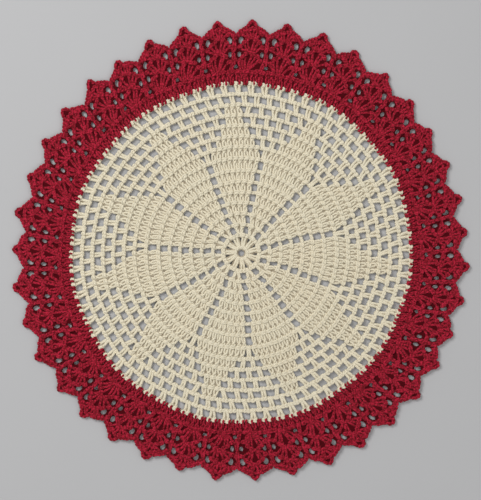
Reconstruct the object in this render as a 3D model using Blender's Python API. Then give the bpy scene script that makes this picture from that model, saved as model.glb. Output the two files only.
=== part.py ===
"""A round crochet placemat that lies flat: a cream centre and a red border worked on around it.

The centre is worked in rounds from a small ring. Eleven petals of close stitches are parted
by ladders of small gaps, and an open net fills the places between the petals' tips. The last
round of the net ends in short teeth, which the border closes. The border has 39 scallops,
each with a knob at its tip, and 39 raised ribs that run out to the valleys between them.

Angles go clockwise from +Y and are in degrees. Lengths here are in millimetres, and the
finished shapes are in metres, with the underside at Z = 0.
"""

import math
import random
from collections import namedtuple

import bmesh
import bpy

MM = 0.001

# Driving sizes
SHEET_THICK = 3.0
RING_HOLE = 2.2
CENTRE_EDGE = 140.6
PIECE_GAP = 0.3
VALLEY = 181.6
TIP_RISE = 8.8

# Counts
PETALS = 11
NET_STEPS = 77
SCALLOPS = 39

# Where the first ladder of gaps and the first scallop's tip lie
LADDER_ANGLE = 13.4
SCALLOP_ANGLE = 2.2

# The rounds whose gaps are wide enough to cut. `base` and `top` are the round's edges,
# `gaps` is the number cut in each of the eleven repeats, `step` the way from one gap to the
# next, `wide` a gap's width and `turn` how far the round has turned against the ladders.
Round = namedtuple("Round", "base top gaps step wide turn")
OPEN_ROUNDS = (
    Round(base=42.1, top=50.9, gaps=1, step=0.0, wide=4.8, turn=-1.7),
    Round(base=50.9, top=59.6, gaps=1, step=0.0, wide=4.5, turn=-1.4),
    Round(base=59.6, top=69.0, gaps=1, step=0.0, wide=4.4, turn=-1.1),
    Round(base=69.0, top=79.2, gaps=1, step=0.0, wide=4.5, turn=-0.8),
    Round(base=106.2, top=114.7, gaps=5, step=10.8, wide=5.5, turn=-0.1),
    Round(base=114.7, top=123.4, gaps=4, step=10.5, wide=5.6, turn=-0.2),
    Round(base=123.4, top=132.0, gaps=7, step=10.4, wide=5.7, turn=-0.4),
)
# The yarn above and below a gap takes up this much of its round's height
YARN_ROWS = 3.2

# The teeth of the last round stand between notches this wide, which are this deep
NOTCH_WIDE = 6.2
NOTCH_DEEP = 6.0

# A gap's outline, clockwise from its left corner: across by its width, out by its height
Corner = namedtuple("Corner", "across out")
GAP_CORNERS = (
    Corner(-0.50, 0.06),
    Corner(-0.30, 0.50),
    Corner(0.34, 0.50),
    Corner(0.50, -0.06),
    Corner(0.30, -0.50),
    Corner(-0.34, -0.50),
)

# Half of a scallop's edge from its valley to its tip: `along` is the part of the half
# pitch that is behind, and `rise` the part of the tip's height that is reached
Edge = namedtuple("Edge", "along rise")
SCALLOP_EDGE = (
    Edge(0.00, 0.00),
    Edge(0.14, 0.06),
    Edge(0.40, 0.24),
    Edge(0.62, 0.38),
    Edge(0.74, 0.50),
    Edge(0.84, 0.78),
    Edge(0.93, 0.97),
    Edge(1.00, 1.00),
)

# The ribs between the scallops
RIB_START = 151.0
RIB_END = 178.5
RIB_WIDE = 3.4
RIB_PROUD = 1.3
RIB_SUNK = 0.7

# How unevenly the mat lies, as waves around it. `waves` is the number of waves in the
# circle. The centre's edge and the scallops' tips are pushed out by up to `push` at the
# angle `at`. They are also drawn round by up to `swing` degrees, at 0 where `from_` is.
Wave = namedtuple("Wave", "waves push at swing from_")
CENTRE_WAVES = (
    Wave(waves=1, push=0.65, at=253.0, swing=0.90, from_=0.0),
    Wave(waves=2, push=0.55, at=66.0, swing=0.50, from_=9.0),
    Wave(waves=3, push=0.45, at=39.0, swing=0.00, from_=0.0),
)
BORDER_WAVES = (
    Wave(waves=1, push=2.10, at=350.0, swing=1.70, from_=217.0),
    Wave(waves=2, push=0.60, at=2.0, swing=0.20, from_=12.0),
    Wave(waves=3, push=1.60, at=8.0, swing=0.60, from_=49.0),
)
# The ring lies this far to the left of and below the middle of the centre's edge
RING_LEFT = 0.75
RING_LOW = 0.45
# The rounds of the net bulge by this much at the petals' tips
PETAL_SWELL = 0.6
# The stitches differ by hand: how far a scallop's tip is out of its place
TIP_STRAY = 1.0
TURN_STRAY = 0.3
STRAY_SEED = 39

CENTRE_COLOUR = (0.62, 0.56, 0.42, 1.0)
BORDER_COLOUR = (0.38, 0.012, 0.035, 1.0)
YARN_ROUGHNESS = 0.85


def waves_at(table, angle):
    """The push in millimetres and the swing in degrees that a table of waves gives."""
    push = 0.0
    swing = 0.0
    for row in table:
        push += row.push * math.cos(math.radians(row.waves * (angle - row.at)))
        swing += row.swing * math.sin(math.radians(row.waves * (angle - row.from_)))
    return push, swing


def laid(radius, angle):
    """Where a point of the even pattern lies on the real mat, in millimetres."""
    inner = min(radius / CENTRE_EDGE, 1.0)
    outer = max(radius - CENTRE_EDGE, 0.0) / (VALLEY + TIP_RISE - CENTRE_EDGE)
    push_in, swing_in = waves_at(CENTRE_WAVES, angle)
    push_out, swing_out = waves_at(BORDER_WAVES, angle)
    petal = PETALS * (angle - LADDER_ANGLE) + 180.0
    swell = PETAL_SWELL * math.cos(math.radians(petal)) * inner**3 * (1.0 - outer)
    far = radius + push_in * inner * (1.0 - outer) + push_out * outer + swell
    turned = angle + swing_in * inner**2 * (1.0 - outer) + swing_out * outer
    drift = (1.0 - inner) ** 2
    x = far * math.sin(math.radians(turned)) - RING_LEFT * drift
    y = far * math.cos(math.radians(turned)) - RING_LOW * drift
    return x, y


def gap_outline(radius, angle, wide, high):
    """The corners of one gap whose middle is at this radius and angle."""
    points = []
    for corner in GAP_CORNERS:
        across = math.degrees(corner.across * wide / radius)
        points.append(laid(radius + corner.out * high, angle + across))
    return points


def round_gaps(row):
    """The outlines of all gaps in one open round."""
    radius = (row.base + row.top) / 2.0
    high = row.top - row.base - YARN_ROWS
    step = math.degrees(row.step / radius)
    outlines = []
    for repeat in range(PETALS):
        middle = LADDER_ANGLE + row.turn + repeat * 360.0 / PETALS
        for place in range(row.gaps):
            angle = middle + (place - (row.gaps - 1) / 2.0) * step
            outlines.append(gap_outline(radius, angle, row.wide, high))
    return outlines


def centre_outline():
    """The cream edge: a notch and a tooth for each step of the net."""
    half_notch = math.degrees(NOTCH_WIDE / 2.0 / CENTRE_EDGE)
    step = 360.0 / NET_STEPS
    first = LADDER_ANGLE + OPEN_ROUNDS[-1].turn + step / 2.0
    points = []
    for notch in range(NET_STEPS):
        middle = first + notch * step
        points.append(laid(CENTRE_EDGE, middle - half_notch))
        points.append(laid(CENTRE_EDGE - NOTCH_DEEP, middle - 0.7 * half_notch))
        points.append(laid(CENTRE_EDGE - NOTCH_DEEP, middle + 0.7 * half_notch))
        points.append(laid(CENTRE_EDGE, middle + half_notch))
    return points


def ring_outline(radius, count):
    """A round outline of this many points."""
    return [laid(radius, place * 360.0 / count) for place in range(count)]


def scallop_strays():
    """How far each tip is out of its place: (millimetres out, degrees round)."""
    draw = random.Random(STRAY_SEED)
    return [
        (draw.uniform(-TIP_STRAY, TIP_STRAY), draw.uniform(-TURN_STRAY, TURN_STRAY))
        for _ in range(SCALLOPS)
    ]


def border_outline():
    """The scalloped edge, valley by valley."""
    pitch = 360.0 / SCALLOPS
    points = []
    for scallop, (out, turn) in enumerate(scallop_strays()):
        tip = SCALLOP_ANGLE + scallop * pitch
        rising = [(edge.along - 1.0, edge.rise) for edge in SCALLOP_EDGE]
        falling = [(1.0 - edge.along, edge.rise) for edge in reversed(SCALLOP_EDGE[1:-1])]
        for along, rise in rising + falling:
            radius = VALLEY + rise * (TIP_RISE + out)
            points.append(laid(radius, tip + rise * turn + along * pitch / 2.0))
    return points


def box_middle(points):
    """The middle of the box around some points."""
    across = [x for x, _ in points]
    along = [y for _, y in points]
    return (min(across) + max(across)) / 2.0, (min(along) + max(along)) / 2.0


def clear_scene():
    """Remove every object that is there."""
    for thing in list(bpy.data.objects):
        bpy.data.objects.remove(thing, do_unlink=True)


def new_collection(name):
    """A collection linked to the scene."""
    collection = bpy.data.collections.new(name)
    bpy.context.scene.collection.children.link(collection)
    return collection


def yarn_material(name, colour):
    """A plain matt yarn material."""
    material = bpy.data.materials.new(name)
    material.use_nodes = True
    shader = material.node_tree.nodes["Principled BSDF"]
    shader.inputs["Base Color"].default_value = colour
    shader.inputs["Roughness"].default_value = YARN_ROUGHNESS
    shader.inputs["Metallic"].default_value = 0.0
    return material


def sheet_curve(name, outlines, origin):
    """A filled flat curve of the sheet's thickness: an edge first and then its holes."""
    curve = bpy.data.curves.new(name, "CURVE")
    curve.dimensions = "2D"
    curve.fill_mode = "BOTH"
    curve.extrude = SHEET_THICK * MM / 2.0
    for outline in outlines:
        spline = curve.splines.new("POLY")
        spline.points.add(len(outline) - 1)
        for point, (x, y) in zip(spline.points, outline):
            point.co = ((x - origin[0]) * MM, (y - origin[1]) * MM, 0.0, 1.0)
        spline.use_cyclic_u = True
    return curve


def sheet_object(name, outlines, origin, material, collection):
    """A solid sheet, made from its curve, with the underside at Z = 0."""
    curve = sheet_curve(name, outlines, origin)
    holder = bpy.data.objects.new(name + "_curve", curve)
    holder.location.z = SHEET_THICK * MM / 2.0
    collection.objects.link(holder)
    bpy.context.view_layer.update()
    graph = bpy.context.evaluated_depsgraph_get()
    mesh = bpy.data.meshes.new_from_object(holder.evaluated_get(graph))
    mesh.name = name
    place = holder.matrix_world.copy()
    bpy.data.objects.remove(holder, do_unlink=True)
    bpy.data.curves.remove(curve)
    shape = bmesh.new()
    shape.from_mesh(mesh)
    bmesh.ops.remove_doubles(shape, verts=shape.verts, dist=0.00001)
    bmesh.ops.recalc_face_normals(shape, faces=shape.faces)
    shape.to_mesh(mesh)
    shape.free()
    sheet = bpy.data.objects.new(name, mesh)
    sheet.matrix_world = place
    mesh.materials.clear()
    mesh.materials.append(material)
    collection.objects.link(sheet)
    return sheet


def rib_mesh():
    """One rib along X from its inner end at the origin: a low ridge with sloping ends."""
    long = (RIB_END - RIB_START) * MM
    wide = RIB_WIDE * MM
    shape = bmesh.new()
    bmesh.ops.create_cube(shape, size=1.0)
    for corner in shape.verts:
        raised = corner.co.z > 0.0
        corner.co.x = (corner.co.x * (0.88 if raised else 1.0) + 0.5) * long
        corner.co.y *= wide * (0.45 if raised else 1.0)
        corner.co.z = SHEET_THICK * MM + (RIB_PROUD if raised else -RIB_SUNK) * MM
    mesh = bpy.data.meshes.new("rib")
    shape.to_mesh(mesh)
    shape.free()
    return mesh


def raise_ribs(border, origin, cutters):
    """Join a raised rib to the border at every valley between two scallops."""
    pitch = 360.0 / SCALLOPS
    shared = rib_mesh()
    for rib in range(SCALLOPS):
        angle = SCALLOP_ANGLE + (rib + 0.5) * pitch
        start = laid(RIB_START, angle)
        end = laid(RIB_END, angle)
        ridge = bpy.data.objects.new("rib_%02d" % (rib + 1), shared)
        ridge.location = ((start[0] - origin[0]) * MM, (start[1] - origin[1]) * MM, 0.0)
        ridge.rotation_euler.z = math.atan2(end[1] - start[1], end[0] - start[0])
        ridge.hide_render = True
        ridge.display_type = "WIRE"
        cutters.objects.link(ridge)
    join = border.modifiers.new("Ribs", "BOOLEAN")
    join.operation = "UNION"
    join.solver = "EXACT"
    join.operand_type = "COLLECTION"
    join.collection = cutters


def main():
    """Build the two pieces."""
    clear_scene()
    parts = new_collection("crochet_placemat")
    cutters = new_collection("ribs_to_join")

    edge = border_outline()
    origin = box_middle(edge)
    cream = yarn_material("cream_yarn", CENTRE_COLOUR)
    red = yarn_material("red_yarn", BORDER_COLOUR)

    holes = [outline for row in OPEN_ROUNDS for outline in round_gaps(row)]
    centre_lines = [centre_outline(), ring_outline(RING_HOLE, 2 * PETALS)] + holes
    sheet_object("cream_centre", centre_lines, origin, cream, parts)

    inner = ring_outline(CENTRE_EDGE + PIECE_GAP, 2 * NET_STEPS)
    border = sheet_object("red_border", [edge, inner], origin, red, parts)
    raise_ribs(border, origin, cutters)


main()
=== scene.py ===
"""A round crochet placemat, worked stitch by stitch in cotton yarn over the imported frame.

The rounds are charted on an even, flat pattern in millimetres and degrees: a radius from
the ring, and an angle clockwise from +Y, seen from above. Lie moves each point of that
pattern to where it lies on the real, uneven mat. Meshes are in metres.
"""

from __future__ import annotations

import logging
import math
import random
from dataclasses import dataclass
from enum import Enum
from typing import NamedTuple, Sequence

import bmesh
import bpy
import numpy as np
from mathutils import Matrix, Vector


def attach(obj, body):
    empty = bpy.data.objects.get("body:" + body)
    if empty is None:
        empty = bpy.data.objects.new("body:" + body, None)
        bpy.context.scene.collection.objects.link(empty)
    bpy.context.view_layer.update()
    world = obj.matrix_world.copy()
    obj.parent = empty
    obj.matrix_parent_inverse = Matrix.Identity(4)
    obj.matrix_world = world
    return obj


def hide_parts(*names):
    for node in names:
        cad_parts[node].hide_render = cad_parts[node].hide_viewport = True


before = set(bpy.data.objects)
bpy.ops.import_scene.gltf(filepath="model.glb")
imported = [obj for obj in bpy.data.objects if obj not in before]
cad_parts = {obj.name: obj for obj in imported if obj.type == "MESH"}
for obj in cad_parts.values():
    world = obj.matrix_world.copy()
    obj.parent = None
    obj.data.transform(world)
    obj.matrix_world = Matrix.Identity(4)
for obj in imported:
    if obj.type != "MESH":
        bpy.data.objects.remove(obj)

LOG = logging.getLogger("placemat")
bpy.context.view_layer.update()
MM = 0.001
FULL_TURN = 360.0
TINY = 1e-6
EDGE_CORNERS = 240
RING_CORNERS = 16
BODY = "root"

Point = tuple[float, float]
Colour = tuple[float, float, float]
Legs = tuple[float, float, float]


class Wave(NamedTuple):
    """One wave around the mat: how often it comes, what it pushes out and how it turns."""

    waves: int
    push: float
    at: float
    swing: float
    start: float


@dataclass(frozen=True)
class Lie:
    """How unevenly the mat lies: from the even pattern to the table.

    Sizes are in millimetres. The origin is the place of the frame's origin, seen from the ring.
    """

    petals: int = 11
    ladder_angle: float = 13.4
    centre_edge: float = 140.6
    valley: float = 181.8
    tip_rise: float = 9.4
    ring_left: float = 0.75
    ring_low: float = 0.45
    petal_swell: float = 0.6
    origin: Point = (-0.4975, 3.3373)
    centre_waves: tuple[Wave, ...] = (
        Wave(waves=1, push=0.65, at=253.0, swing=0.90, start=0.0),
        Wave(waves=2, push=0.55, at=66.0, swing=0.50, start=9.0),
        Wave(waves=3, push=0.45, at=39.0, swing=0.00, start=0.0),
    )
    border_waves: tuple[Wave, ...] = (
        Wave(waves=1, push=1.05, at=299.0, swing=2.20, start=217.0),
        Wave(waves=2, push=1.05, at=11.0, swing=0.20, start=12.0),
        Wave(waves=3, push=1.80, at=10.0, swing=0.60, start=49.0),
        Wave(waves=5, push=0.50, at=30.0, swing=0.00, start=0.0),
    )

    @staticmethod
    def waves_at(table: Sequence[Wave], angle: np.ndarray) -> tuple[np.ndarray, np.ndarray]:
        """Add up a table of waves.

        Args:
            table: the waves.
            angle: angles on the even pattern, in degrees.

        Returns:
            The push in millimetres and the swing in degrees at each angle.
        """
        push = np.zeros_like(angle)
        swing = np.zeros_like(angle)
        for row in table:
            push += row.push * np.cos(np.radians(row.waves * (angle - row.at)))
            swing += row.swing * np.sin(np.radians(row.waves * (angle - row.start)))
        return push, swing

    def place(self, radius: np.ndarray, angle: np.ndarray) -> np.ndarray:
        """Where points of the even pattern lie.

        Args:
            radius: radii in millimetres.
            angle: angles in degrees, clockwise from +Y.

        Returns:
            One row of x and y in millimetres for each point, from the ring.
        """
        radius = np.asarray(radius, float)
        angle = np.asarray(angle, float)
        inner = np.minimum(radius / self.centre_edge, 1.0)
        reach = self.valley + self.tip_rise - self.centre_edge
        outer = np.maximum(radius - self.centre_edge, 0.0) / reach
        push_in, swing_in = self.waves_at(self.centre_waves, angle)
        push_out, swing_out = self.waves_at(self.border_waves, angle)
        petal = np.radians(self.petals * (angle - self.ladder_angle) + 180.0)
        swell = self.petal_swell * np.cos(petal) * inner**3 * (1.0 - outer)
        far = radius + push_in * inner * (1.0 - outer) + push_out * outer + swell
        turned = angle + swing_in * inner**2 * (1.0 - outer) + swing_out * outer
        drift = (1.0 - inner) ** 2
        x = far * np.sin(np.radians(turned)) - self.ring_left * drift
        y = far * np.cos(np.radians(turned)) - self.ring_low * drift
        return np.stack([x, y], -1)

    def laid(self, radius: np.ndarray, angle: np.ndarray) -> np.ndarray:
        """Where points of the even pattern lie on the table, as rows of x and y in metres."""
        return (self.place(radius, angle) - np.array(self.origin)) * MM

    def laid_flat(self, points: np.ndarray) -> np.ndarray:
        """Move points of the flat pattern to the table.

        Args:
            points: rows of flat x and y in millimetres.

        Returns:
            Rows of x and y in metres.
        """
        angle = np.degrees(np.arctan2(points[:, 0], points[:, 1]))
        return self.laid(np.linalg.norm(points, axis=1), angle % FULL_TURN)

    def circle(self, radius: float, corners: int) -> np.ndarray:
        """A round outline of the even pattern on the table, in metres."""
        return self.laid(np.full(corners, radius), np.arange(corners) * FULL_TURN / corners)


class EdgePoint(NamedTuple):
    """A point of half a scallop: the part of the half pitch behind it, and of the rise."""

    along: float
    rise: float


@dataclass(frozen=True)
class ScallopEdge:
    """The scalloped outline of the border."""

    lie: Lie
    count: int = 39
    first: float = 2.2
    tip_stray: float = 1.3
    tip_swell: float = 0.8
    swell_at: float = 345.0
    tip_lean: float = 0.6
    lean_at: float = 130.0
    turn_stray: float = 0.3
    stray_seed: int = 39
    shape: tuple[EdgePoint, ...] = (
        EdgePoint(0.00, 0.00),
        EdgePoint(0.14, 0.06),
        EdgePoint(0.40, 0.24),
        EdgePoint(0.62, 0.41),
        EdgePoint(0.74, 0.56),
        EdgePoint(0.84, 0.78),
        EdgePoint(0.93, 0.96),
        EdgePoint(1.00, 1.00),
    )

    @property
    def pitch(self) -> float:
        """The angle from one tip to the next, in degrees."""
        return FULL_TURN / self.count

    def strays(self) -> list[Point]:
        """How far each tip is out of its place.

        Returns:
            Millimetres outwards and degrees round for each tip.
        """
        draw = random.Random(self.stray_seed)
        found = []
        for scallop in range(self.count):
            swell = self.tip_swell * math.cos(math.radians(self.tip(scallop) - self.swell_at))
            lean = self.tip_lean * math.cos(math.radians(self.tip(scallop) - self.lean_at))
            out = swell + draw.uniform(-self.tip_stray, self.tip_stray)
            found.append((out, lean + draw.uniform(-self.turn_stray, self.turn_stray)))
        return found

    def tip(self, scallop: int) -> float:
        """The angle of a scallop's tip before it strays, in degrees."""
        return self.first + scallop * self.pitch

    def point(self, scallop: int, offset: float, inset: float) -> Point:
        """A point of one scallop's edge.

        Args:
            scallop: which scallop.
            offset: degrees from the scallop's tip.
            inset: millimetres inside the edge.

        Returns:
            The radius and the angle on the even pattern.
        """
        out, turn = self.strays()[scallop]
        along = 1.0 - abs(offset) / (self.pitch / 2.0)
        rise = float(np.interp(along, [e.along for e in self.shape], [e.rise for e in self.shape]))
        radius = self.lie.valley + rise * (self.lie.tip_rise + out) - inset
        return radius, self.tip(scallop) + rise * turn + offset

    def outline(self, inset: float) -> np.ndarray:
        """The whole edge.

        Args:
            inset: millimetres inside the edge.

        Returns:
            Rows of radius and angle.
        """
        half = self.pitch / 2.0
        rising = [(e.along - 1.0) * half for e in self.shape]
        falling = [(1.0 - e.along) * half for e in reversed(self.shape[1:-1])]
        spots = [(scallop, offset) for scallop in range(self.count) for offset in rising + falling]
        return np.array([self.point(scallop, offset, inset) for scallop, offset in spots])


def flat(radius: float, angle: float) -> np.ndarray:
    """A point of the even pattern as flat x and y, in millimetres."""
    return np.array([radius * math.sin(math.radians(angle)), radius * math.cos(math.radians(angle))])


def degrees_of(arc: float, radius: float) -> float:
    """The angle that an arc of so many millimetres takes at a radius."""
    return math.degrees(arc / radius)


class Kind(Enum):
    """What a stitch is."""

    CHAIN = "chain"
    SINGLE = "single crochet"
    DOUBLE = "double crochet"
    RIB = "double crochet worked round the front of the post below"


@dataclass
class Stitch:
    """One stitch of a round, by the middle of its top loop and the foot of its post."""

    kind: Kind
    top_angle: float
    top_radius: float
    base_angle: float = 0.0
    base_radius: float = 0.0

    @property
    def has_post(self) -> bool:
        """Whether the stitch stands on the round below."""
        return self.kind is not Kind.CHAIN

    def foot(self, turn: float = 0.0) -> np.ndarray:
        """The foot of its post on the flat pattern, so many degrees further round."""
        return flat(self.base_radius, self.base_angle + turn)

    def top(self) -> np.ndarray:
        """The middle of its top loop on the flat pattern."""
        return flat(self.top_radius, self.top_angle)


def linked(name: str, data: bpy.types.ID) -> bpy.types.Object:
    """A new object of some data, linked to the scene.

    Args:
        name: the object's name.
        data: its mesh, curve, lamp or camera.

    Returns:
        The object.
    """
    thing = bpy.data.objects.new(name, data)
    bpy.context.scene.collection.objects.link(thing)
    return thing


def plain_mesh(guide: bpy.types.Object, name: str) -> bpy.types.Mesh:
    """Turn an object as it is evaluated into a plain mesh, and remove the object.

    Args:
        guide: the object, with its curve or modifiers.
        name: the mesh's name.

    Returns:
        The mesh.
    """
    bpy.context.view_layer.update()
    seen = guide.evaluated_get(bpy.context.evaluated_depsgraph_get())
    mesh = bpy.data.meshes.new_from_object(seen)
    mesh.name = name
    bpy.data.objects.remove(guide)
    return mesh


class Bend(NamedTuple):
    """A point of the yarn in a post: across in leg spreads, run from foot to top, mm out, mm high."""

    side: float
    run: float
    out: float
    high: float


class Turn(NamedTuple):
    """A point of the yarn in a top loop: across in loop widths, mm out, mm high."""

    side: float
    out: float
    high: float


@dataclass(frozen=True)
class Hand:
    """How the yarn runs through a stitch, and how unevenly it was worked, in millimetres.

    A rib lifts the strands that aren't behind its post, and fades out towards its top. Where
    the feet of a round rise, the strand on the post's clockwise side does.
    """

    middle_height: float = 2.1
    lowest: float = 1.12
    rib_height: float = 0.9
    rib_fade: float = 4.0
    behind: float = -0.7
    foot_side: float = 0.5
    foot_run: float = 0.2
    foot_fade: float = 3.0
    loop_end: float = -0.50
    loop_overlap: float = 0.40
    wander: float = 0.32
    lift: float = 0.18
    calm_radius: float = 20.0
    double_post: tuple[Bend, ...] = (
        Bend(0.70, 0.88, 0.00, -0.80),
        Bend(1.00, 0.78, 0.00, -0.45),
        Bend(0.00, 0.66, 0.00, 0.30),
        Bend(-1.00, 0.54, 0.00, 0.22),
        Bend(-1.00, 0.30, 0.00, 0.05),
        Bend(-1.00, 0.14, 0.00, -0.15),
        Bend(-0.90, 0.00, 0.10, -0.75),
        Bend(-0.60, 0.00, -0.95, -0.80),
        Bend(0.00, 0.00, -1.25, -0.40),
        Bend(0.60, 0.00, -1.10, 0.15),
        Bend(0.85, 0.00, -0.15, 0.15),
        Bend(1.00, 0.16, 0.00, 0.15),
        Bend(1.00, 0.36, 0.00, 0.00),
        Bend(0.85, 0.52, 0.00, -0.40),
        Bend(-0.10, 0.64, 0.00, -0.60),
        Bend(-1.00, 0.75, 0.00, -0.25),
        Bend(-0.85, 0.87, 0.00, 0.20),
        Bend(0.30, 0.96, 0.00, 0.60),
    )
    single_post: tuple[Bend, ...] = (
        Bend(0.60, 0.80, 0.00, -0.60),
        Bend(-0.60, 0.60, 0.00, 0.40),
        Bend(-0.85, 0.10, 0.00, 1.00),
        Bend(-0.70, 0.00, -1.25, 0.20),
        Bend(0.00, 0.00, -0.10, -1.10),
        Bend(0.70, 0.00, -1.25, 0.20),
        Bend(0.85, 0.10, 0.00, 1.00),
        Bend(0.90, 0.60, 0.00, 0.60),
    )
    top_loop: tuple[Turn, ...] = (
        Turn(0.38, 0.40, 0.95),
        Turn(0.08, 1.05, 0.85),
        Turn(-0.32, 0.95, 0.65),
        Turn(-0.52, 0.00, -0.20),
        Turn(-0.28, -0.95, 0.80),
        Turn(0.12, -0.90, 0.95),
        Turn(0.45, -0.10, 0.00),
        Turn(-0.05, 0.00, -1.00),
    )
    chain_loop: tuple[Turn, ...] = (
        Turn(0.32, 0.20, 0.30),
        Turn(0.05, 0.62, 0.30),
        Turn(-0.32, 0.55, -0.05),
        Turn(-0.50, 0.00, -0.60),
        Turn(-0.30, -0.57, -0.05),
        Turn(0.08, -0.62, 0.30),
        Turn(0.40, -0.15, -0.20),
        Turn(0.00, 0.00, -0.95),
    )

    def post_of(self, kind: Kind) -> tuple[Bend, ...]:
        """The run of the yarn through the post of a kind of stitch."""
        posts = {Kind.CHAIN: (), Kind.SINGLE: self.single_post}
        return posts.get(kind, self.double_post)

    def loop_of(self, kind: Kind) -> tuple[Turn, ...]:
        """The run of the yarn through the top of a kind of stitch."""
        return self.chain_loop if kind is Kind.CHAIN else self.top_loop


@dataclass
class Round:
    """One round of stitches, in the order they are worked: against the clock, from above."""

    name: str
    stitches: list[Stitch]
    seed: int
    hand: Hand = Hand()
    widest_leg: float = 1.2
    narrowest_leg: float = 0.18
    narrowest_foot: float = 0.24
    waist_run: float = 0.45
    waist_gap: float = 0.10
    top_gap: float = 0.15
    rib_legs: Legs = (0.70, 0.95, 0.80)
    lean: float = 1.5
    least_lean: float = 0.5
    full_pitch: float = 5.2
    chain_drop: float = 0.0
    foot_rise: float = 0.0
    least_gap: float = 1.0
    gap_runs: tuple[float, ...] = (0.16, 0.50, 0.84)
    gap_tuck: float = 0.6
    gap_share: float = 0.4
    path_draws: int = 1000

    def neighbours(self, place: int) -> tuple[Stitch, Stitch]:
        """The stitches before and after one, round the ring."""
        count = len(self.stitches)
        return self.stitches[place - 1], self.stitches[(place + 1) % count]

    def legs(self, place: int) -> Legs:
        """Half the spread of a post's two strands at its foot, its waist and its top.

        Args:
            place: which stitch.

        Returns:
            The half spreads in millimetres, narrower where posts stand close together.
        """
        here = self.stitches[place]
        if here.kind is Kind.RIB:
            return self.rib_legs
        near = [s for s in self.neighbours(place) if s.has_post]
        feet = [np.linalg.norm(here.foot() - s.foot()) for s in near]
        tops = [np.linalg.norm(here.top() - s.top()) for s in near]
        foot_room = min([*feet, self.full_pitch]) / 2.0
        top_room = min([*tops, self.full_pitch]) / 2.0
        waist_room = foot_room + (top_room - foot_room) * self.waist_run
        at_foot = max(foot_room - YARN.radius, self.narrowest_foot)
        at_waist = max(waist_room - YARN.radius - self.waist_gap, self.narrowest_leg)
        at_top = max(top_room - YARN.radius - self.top_gap, self.narrowest_leg)
        return at_foot, min(at_waist, self.widest_leg), at_top

    def spread_at(self, legs: Legs, run: float) -> float:
        """Half the spread of a post's strands at a part of its height."""
        return float(np.interp(run, (0.0, self.waist_run, 1.0), legs))

    def crowns(self) -> np.ndarray:
        """The middles of the top loops, with the hand's wander.

        Returns:
            Rows of flat x and y in millimetres.
        """
        draw = random.Random(self.seed)
        wander = self.hand.wander
        rows = []
        for stitch in self.stitches:
            out = stitch.top_radius + draw.uniform(-wander, wander)
            turn = degrees_of(draw.uniform(-wander, wander), stitch.top_radius)
            rows.append(flat(out, stitch.top_angle + turn))
        return np.array(rows)

    def frames(self) -> tuple[np.ndarray, np.ndarray, np.ndarray, np.ndarray]:
        """The crowns with their directions.

        Returns:
            The crowns, the unit vectors clockwise along the edge, the unit vectors
            outwards, and the widths of the top loops in millimetres.
        """
        crowns = self.crowns()
        span = np.roll(crowns, 1, axis=0) - np.roll(crowns, -1, axis=0)
        length = np.linalg.norm(span, axis=1)
        along = span / length[:, None]
        outward = np.stack([-along[:, 1], along[:, 0]], -1)
        return crowns, along, outward, length / 2.0

    def post_top(self, crown: np.ndarray, along: np.ndarray, width: float) -> np.ndarray:
        """Where a post ends below its top loop, a little against the clock."""
        share = min(max(width / self.full_pitch, self.least_lean), 1.0)
        return crown - along * self.lean * share

    def post(self, place: int, top: np.ndarray, stray: float, lift: float) -> list[np.ndarray]:
        """The yarn's points through one post.

        Args:
            place: which stitch.
            top: where the post ends on the flat pattern.
            stray: how far its foot strays along the round, in millimetres.
            lift: how high the yarn's middle lies, in millimetres.

        Returns:
            Points of flat x, flat y and height.
        """
        stitch = self.stitches[place]
        hand = self.hand
        foot = stitch.foot(degrees_of(stray, max(stitch.base_radius, hand.calm_radius)))
        reach = float(np.linalg.norm(top - foot))
        up = (top - foot) / reach
        side = np.array([up[1], -up[0]])
        legs = self.legs(place)
        rib = hand.rib_height if stitch.kind is Kind.RIB else 0.0
        rows = []
        for bend in hand.post_of(stitch.kind):
            spread = self.spread_at(legs, bend.run)
            spot = foot + up * (bend.run * reach + bend.out) + side * bend.side * spread
            rise = 0.0
            if bend.high > hand.behind:
                rise = rib * min(1.0, (1.0 - bend.run) * hand.rib_fade)
            if bend.side > hand.foot_side and bend.run < hand.foot_run:
                rise += self.foot_rise * (1.0 - hand.foot_fade * bend.run)
            rows.append(np.append(spot, lift + bend.high + rise))
        return rows

    def path(self) -> np.ndarray:
        """The closed line of the round's yarn.

        Returns:
            Rows of flat x, flat y and height in millimetres.
        """
        draw = random.Random(self.seed + self.path_draws)
        hand = self.hand
        rows: list[np.ndarray] = []
        for place, (crown, along, outward, width) in enumerate(zip(*self.frames())):
            stitch = self.stitches[place]
            lift = hand.middle_height + draw.uniform(-hand.lift, hand.lift)
            stray = draw.uniform(-hand.wander, hand.wander)
            if stitch.has_post:
                rows += self.post(place, self.post_top(crown, along, width), stray, lift)
            drop = 0.0 if stitch.has_post else self.chain_drop
            for turn in hand.loop_of(stitch.kind):
                past = hand.loop_overlap if turn.side <= hand.loop_end else 0.0
                spot = crown + along * (turn.side * width - past) + outward * turn.out
                rows.append(np.append(spot, lift + turn.high - drop))
        line = np.array(rows)
        line[:, 2] = np.maximum(line[:, 2], hand.lowest)
        return line

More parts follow.
